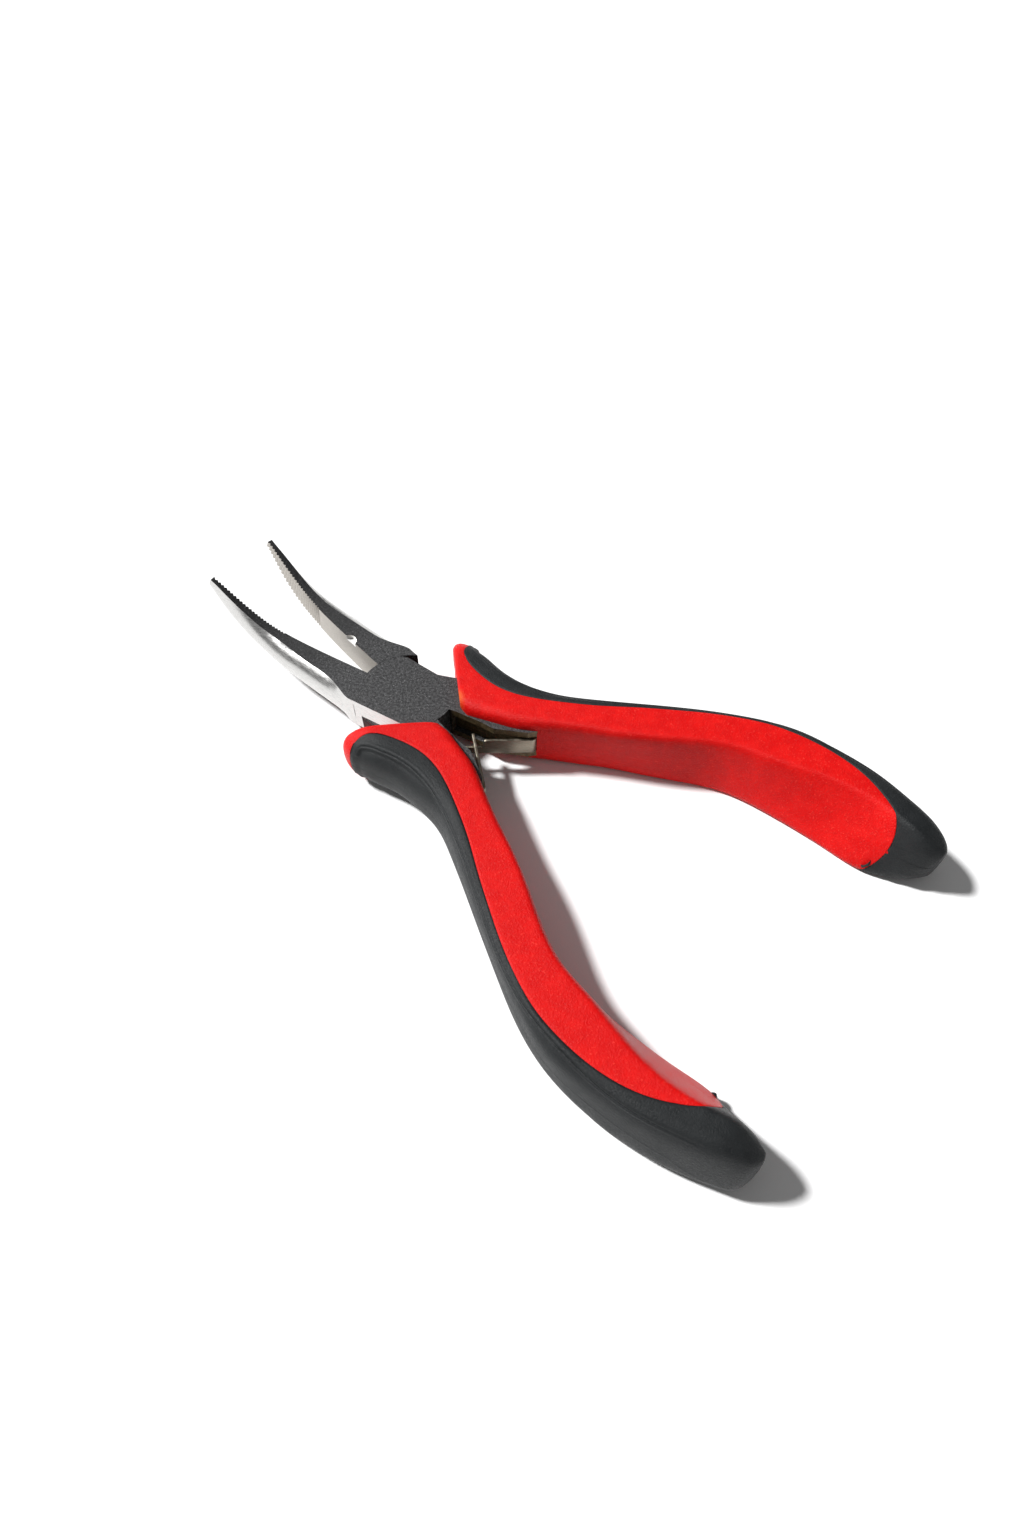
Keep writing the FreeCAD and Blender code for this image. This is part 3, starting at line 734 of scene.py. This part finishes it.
class Graph:
    """Builds a material's node graph; values may be numbers or output sockets."""
    def __init__(self, name):
        self.material, self.shader = new_material(name)
        self.tree = self.material.node_tree
        coordinates = self.new("ShaderNodeTexCoord")
        self.position = coordinates.outputs["Object"]
        self.normal = coordinates.outputs["Normal"]

    def new(self, kind, **settings):
        node = self.tree.nodes.new(kind)
        for key, value in settings.items():
            setattr(node, key, value)
        return node

    def put(self, socket, value):
        if hasattr(value, "node"):
            self.tree.links.new(value, socket)
        else:
            socket.default_value = value

    def fill(self, node, inputs):
        for key, value in inputs.items():
            self.put(node.inputs[key], value)

    def surface(self, inputs):
        self.fill(self.shader, inputs)

    def noise(self, scale, detail=2.0, roughness=0.5, vector=None):
        node = self.new("ShaderNodeTexNoise")
        self.fill(node, {"Scale": scale, "Detail": detail, "Roughness": roughness,
                         "Vector": vector or self.position})
        return node.outputs["Fac"]

    def streaks(self, scale):
        """Noise with its own scale on each axis."""
        node = self.new("ShaderNodeMapping")
        self.fill(node, {"Vector": self.position, "Scale": scale})
        return self.noise(scale=1.0, detail=3.0, roughness=0.6, vector=node.outputs[0])

    def math(self, operation, first, second, clamp=False):
        node = self.new("ShaderNodeMath", operation=operation, use_clamp=clamp)
        self.fill(node, {0: first, 1: second}) if False else None
        self.put(node.inputs[0], first)
        self.put(node.inputs[1], second)
        return node.outputs[0]

    def times(self, first, second, clamp=False):
        return self.math("MULTIPLY", first, second, clamp)

    def ramp(self, value, span, to=(0, 1), smooth=True):
        """Maps value from span to the range in to, clamped."""
        node = self.new("ShaderNodeMapRange",
                        interpolation_type="SMOOTHSTEP" if smooth else "LINEAR")
        self.fill(node, {"Value": value, "From Min": span[0], "From Max": span[1],
                         "To Min": to[0], "To Max": to[1]})
        return node.outputs["Result"]

    def mix(self, factor, first, second):
        """Mix of two colours."""
        node = self.new("ShaderNodeMix", data_type="RGBA")
        self.put(node.inputs[0], factor)
        for socket, color in ((node.inputs[6], first), (node.inputs[7], second)):
            self.put(socket, color if hasattr(color, "node") else (*color, 1.0))
        return node.outputs[2]

    def mix_value(self, factor, first, second):
        node = self.new("ShaderNodeMix", data_type="FLOAT")
        for i, value in ((0, factor), (2, first), (3, second)):
            self.put(node.inputs[i], value)
        return node.outputs[0]

    def bump(self, height, strength, distance, normal=None):
        node = self.new("ShaderNodeBump")
        self.fill(node, {"Strength": strength, "Distance": distance, "Height": height})
        if normal:
            self.put(node.inputs["Normal"], normal)
        return node.outputs["Normal"]

    def split(self, vector):
        node = self.new("ShaderNodeSeparateXYZ")
        self.put(node.inputs[0], vector)
        return node.outputs

    def vector_math(self, operation, vector, other, output="Value"):
        node = self.new("ShaderNodeVectorMath", operation=operation)
        self.put(node.inputs[0], vector)
        self.put(node.inputs[1], other)
        return node.outputs[output]


MIDDLE = (0.3, 0.7)           # span that covers most of a noise's values


# ------------------------------------------------------------------ materials (lengths in metres)
def moulded_finish(graph, color, grain, blotch, fine, grain_rough, blotch_rough, fine_height,
                   strength, distance):
    """Colour, roughness from grain and blotches, and the grained bump of a moulded part."""
    rough = graph.math("ADD", graph.ramp(grain, span=MIDDLE, to=grain_rough),
                       graph.ramp(blotch, span=MIDDLE, to=blotch_rough))
    height = graph.math("ADD", graph.times(grain, 0.8), graph.times(fine, fine_height))
    graph.surface({"Base Color": color, "Roughness": rough,
                   "Normal": graph.bump(height, strength, distance)})


def moulded_red():
    graph = Graph("moulded_red")
    grain = graph.noise(scale=3600, detail=3.0, roughness=0.6)
    fine = graph.noise(scale=14000, detail=1.0)
    blotch = graph.noise(scale=420, detail=3.0, roughness=0.6)
    wide = graph.noise(scale=60)
    color = graph.mix(graph.ramp(blotch, span=(0.35, 0.7)),
                      (0.60, 0.003, 0.003), (0.69, 0.005, 0.004))
    # lighter flecks on the grain's peaks: partly the plastic's own grain, partly painted sparkle
    # glints
    color = graph.mix(graph.ramp(grain, span=(0.58, 0.72), to=(0, 0.55)),
                      color, (0.95, 0.075, 0.050))
    color = graph.mix(graph.ramp(wide, span=MIDDLE, to=(0, 0.20)), color, (0.54, 0.002, 0.003))
    # amber staining where the right collar meets the joint
    near = graph.vector_math("DISTANCE", graph.position, (0.0081, 0.0021, 0.0008))
    stain = graph.times(graph.ramp(near, span=(0.0034, 0.0012)),
                        graph.ramp(blotch, span=(0.25, 0.6), to=(0.35, 0.85)))
    color = graph.mix(stain, color, (0.62, 0.19, 0.02))
    moulded_finish(graph, color, grain, blotch, fine, grain_rough=(0.33, 0.46),
                   blotch_rough=(-0.03, 0.05), fine_height=0.35, strength=0.85,
                   distance=0.00016)
    graph.surface({"IOR": 1.40, "Specular IOR Level": 0.22, "Subsurface Weight": 0.03,
                   "Subsurface Radius": (0.0008, 0.0002, 0.0001)})
    return graph.material


def soft_black():
    graph = Graph("soft_black")
    grain = graph.noise(scale=3600, detail=3.0, roughness=0.62)
    fine = graph.noise(scale=15000, detail=1.0)
    blotch = graph.noise(scale=350, detail=3.0, roughness=0.6)
    color = graph.mix(graph.ramp(blotch, span=(0.3, 0.75)),
                      (0.0070, 0.0085, 0.0095), (0.0125, 0.0145, 0.0155))
    color = graph.mix(graph.ramp(grain, span=(0.60, 0.76), to=(0, 0.5)),
                      color, (0.034, 0.038, 0.040))
    moulded_finish(graph, color, grain, blotch, fine, grain_rough=(0.44, 0.58),
                   blotch_rough=(-0.04, 0.04), fine_height=0.4, strength=0.8,
                   distance=0.00014)
    graph.surface({"IOR": 1.5, "Specular IOR Level": 0.30})
    return graph.material


def notch_mask(graph, pos_z, normal_z):
    """The round wire notch in the lower lever's jaw: its rim and its wall."""
    flat = graph.vector_math("MULTIPLY", graph.position, (1.0, 1.0, 0.0), output="Vector")
    radius = graph.vector_math("DISTANCE", flat, (-0.016876, 0.002107, 0.0))
    rim = graph.times(graph.ramp(radius, span=(0.00156, 0.00151)),
                      graph.ramp(normal_z, span=(0.95, 0.80)), clamp=True)
    wall = graph.times(graph.ramp(radius, span=(0.00149, 0.00145)),
                       graph.ramp(pos_z, span=(-0.0003, -0.0006)))
    return graph.times(graph.math("MAXIMUM", rim, wall),
                       graph.ramp(pos_z, span=(-0.00100, -0.00085)))


def forged_steel(name, side):
    """Black phosphated forging, ground bright on the outer side and the gripping face of the jaw.
    side is +1 for the lever whose jaw lies at y < 0, -1 for the other."""
    graph = Graph(name)
    pos_x, _, pos_z = graph.split(graph.position)
    to_other_jaw = (-math.sin(OPEN), math.cos(OPEN) * side, 0.0)
    facing = graph.vector_math("DOT_PRODUCT", graph.normal, to_other_jaw)
    normal_z = graph.split(graph.normal)[2]
    # where the steel is ground
    jaw = graph.ramp(pos_x, span=(-0.0082, -0.0088))
    face = graph.times(graph.ramp(facing, span=(0.60, 0.75)), jaw, clamp=True)
    ragged = graph.noise(scale=1500, detail=4.0, roughness=0.7)
    edge = graph.math("ADD", normal_z, graph.ramp(ragged, span=MIDDLE, to=(-0.012, 0.012)))
    outer = graph.times(graph.ramp(facing, span=(-0.10, -0.28)),
                        graph.ramp(edge, span=(0.93, 0.85)), clamp=True)
    outer = graph.times(outer, graph.ramp(pos_x, span=(0.006, 0.004)), clamp=True)
    # black finish, darker towards the jaw's tip
    grain = graph.noise(scale=2200, detail=4.0, roughness=0.75)
    specks = graph.noise(scale=4200, roughness=0.6)
    black = graph.mix(graph.ramp(grain, span=(0.35, 0.72)),
                      (0.014, 0.014, 0.015), (0.095, 0.095, 0.097))
    black = graph.mix(graph.ramp(specks, span=(0.60, 0.72), to=(0, 0.8)),
                      black, (0.30, 0.30, 0.305))
    black = graph.mix(graph.ramp(pos_x, span=(-0.010, -0.022), to=(0, 0.65)),
                      black, (0.012, 0.012, 0.0125))
    # painted reflection in shade: the tang's flank beside the leaf spring is tinted brown for the
    # grips' colour reflected into the shaded throat
    shaded_flank_mask = graph.times(graph.ramp(pos_x, span=(0.0085, 0.0095)),
                        graph.ramp(normal_z, span=(0.6, 0.3)), clamp=True)
    painted_reflection_brown = graph.mix(graph.ramp(ragged, span=MIDDLE), (0.075, 0.052, 0.022), (0.17, 0.125, 0.06))
    black = graph.mix(shaded_flank_mask, black, painted_reflection_brown)
    # ground finish: lines along the jaw outside, across it on the gripping face
    lines = graph.streaks((900, 900, 14000))
    ground = graph.mix(graph.ramp(lines, span=MIDDLE), (0.56, 0.555, 0.545), (0.72, 0.715, 0.70))
    face_lines = graph.streaks((9000, 2500, 2500))
    face_color = graph.mix(graph.ramp(face_lines, span=MIDDLE),
                           (0.40, 0.375, 0.34), (0.56, 0.53, 0.49))
    color = graph.mix(face, graph.mix(outer, black, ground), face_color)
    bright = graph.math("MAXIMUM", outer, face)
    if side < 0:
        notch = notch_mask(graph, pos_z, normal_z)
        # the notch is ground steel, its colour pushed near white as a painted highlight
        color = graph.mix(notch, color, (0.86, 0.855, 0.84))
        bright = graph.math("MAXIMUM", bright, notch)
    metallic = graph.ramp(bright, span=(0.0, 1.0), to=(0.35, 1.0), smooth=False)
    rough = graph.mix_value(outer, graph.ramp(grain, span=MIDDLE, to=(0.62, 0.46)),
                            graph.ramp(lines, span=MIDDLE, to=(0.26, 0.38)))
    rough = graph.mix_value(face, rough, graph.ramp(face_lines, span=MIDDLE, to=(0.36, 0.50)))
    # the grain fades out where the steel is ground, and the lines take over
    pitted = graph.times(grain, graph.ramp(bright, span=(0.0, 1.0), to=(1.0, 0.06),
                                           smooth=False))
    normal = graph.bump(pitted, strength=0.55, distance=0.00012)
    scored = graph.times(graph.math("ADD", lines, face_lines), bright)
    normal = graph.bump(scored, strength=0.10, distance=0.00003, normal=normal)
    graph.surface({"Base Color": color, "Metallic": metallic, "Roughness": rough,
                   "Normal": normal})
    return graph.material


def spring_steel():
    graph = Graph("spring_steel_blank")
    lines = graph.streaks((1200, 1200, 12000))
    spots = graph.noise(scale=900, detail=3.0, roughness=0.6)
    color = graph.mix(graph.ramp(lines, span=MIDDLE), (0.20, 0.175, 0.135), (0.34, 0.305, 0.245))
    color = graph.mix(graph.ramp(spots, span=(0.6, 0.75), to=(0, 0.5)), color, (0.20, 0.17, 0.13))
    graph.surface({"Base Color": color, "Metallic": 1.0,
                   "Roughness": graph.ramp(lines, span=MIDDLE, to=(0.34, 0.46)),
                   "Normal": graph.bump(lines, strength=0.12, distance=0.00003)})
    return graph.material


red, black = moulded_red(), soft_black()
upper_steel = forged_steel("forged_steel_upper", 1)
lower_steel = forged_steel("forged_steel_lower", -1)
spring = spring_steel()

# CAD pieces keep their meshes and take a new material
for node, material in (("upper_lap_lever", upper_steel), ("lower_lap_lever", lower_steel),
                       ("pivot_rivet", upper_steel)):
    for slot in NODES[node].material_slots:
        slot.link = "OBJECT"
        slot.material = material

# piece, material, body it rides, slot, CAD piece it replaces
for piece, material, body, slot, replaced in (
        (shell_right, red, "right_half", "grip_red", "right_grip_core"),
        (skin_right, black, "right_half", "grip_black", "right_grip_overmould"),
        (shell_left, red, "left_half", "grip_red", "left_grip_core"),
        (skin_left, black, "left_half", "grip_black", "left_grip_overmould"),
        (leaf_right, spring, None, "spring_steel", "right_leaf_spring"),
        (leaf_left, spring, None, "spring_steel", "left_leaf_spring")):
    piece.data.materials.clear()
    piece.data.materials.append(material)
    if body:
        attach(piece, body)
    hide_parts(replaced)

# each leaf's transform is baked into its mesh; the listed halves, bodies and sides are not used
for leaf, half, body, side in ((leaf_right, "right_half", "right_leaf", 1),
                               (leaf_left, "left_half", "left_leaf", -1)):
    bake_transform(leaf)


# ------------------------------------------------------------------ stage
FLOOR_Z = -8.65 * MM
FLOOR_R = 3.0                                 # metres
KEY_DIRECTION = Vector((0.641, 0.233, -0.731))
VIEW_TARGET = Vector((25.9, -2.642, 2.028))   # mm
VIEW_DISTANCE = 137.5435                      # mm
VIEW_AZIMUTH, VIEW_ELEVATION = math.radians(39.17), math.radians(53.31)


def aim(ob, direction):
    ob.rotation_mode = "QUATERNION"
    ob.rotation_quaternion = direction.to_track_quat("-Z", "Y")


def build_floor():
    bm = bmesh.new()
    bm.faces.new([bm.verts.new((x, y, FLOOR_Z)) for x, y in circle(0, 0, FLOOR_R, 64)])
    mesh = bpy.data.meshes.new("floor")
    bm.to_mesh(mesh)
    bm.free()
    floor = add_object("floor", mesh)
    material, shader = new_material("pale_floor")
    shader.inputs["Base Color"].default_value = (0.90, 0.90, 0.90, 1)
    shader.inputs["Roughness"].default_value = 0.9
    shader.inputs["Specular IOR Level"].default_value = 0.1
    mesh.materials.append(material)


def build_lights():
    world = bpy.data.worlds.new("studio")
    bpy.context.scene.world = world
    world.use_nodes = True
    background = world.node_tree.nodes["Background"]
    background.inputs["Color"].default_value = (1, 1, 1, 1)
    background.inputs["Strength"].default_value = 0.20
    sun = bpy.data.lights.new("key", "SUN")
    sun.energy = 5.2
    sun.angle = math.radians(8)
    aim(add_object("key", sun), KEY_DIRECTION)


def build_camera():
    lens = bpy.data.cameras.new("camera")
    lens.lens = 20.04
    lens.sensor_width = 36
    lens.clip_start, lens.clip_end = 0.005, 20
    camera = add_object("camera", lens)
    back = Vector((math.sin(VIEW_AZIMUTH) * math.cos(VIEW_ELEVATION),
                   -math.cos(VIEW_AZIMUTH) * math.cos(VIEW_ELEVATION),
                   math.sin(VIEW_ELEVATION)))
    camera.location = VIEW_TARGET * MM + back * VIEW_DISTANCE * MM
    aim(camera, -back)
    bpy.context.scene.camera = camera


build_floor()
build_lights()
build_camera()
bpy.context.scene.view_settings.view_transform = "Standard"
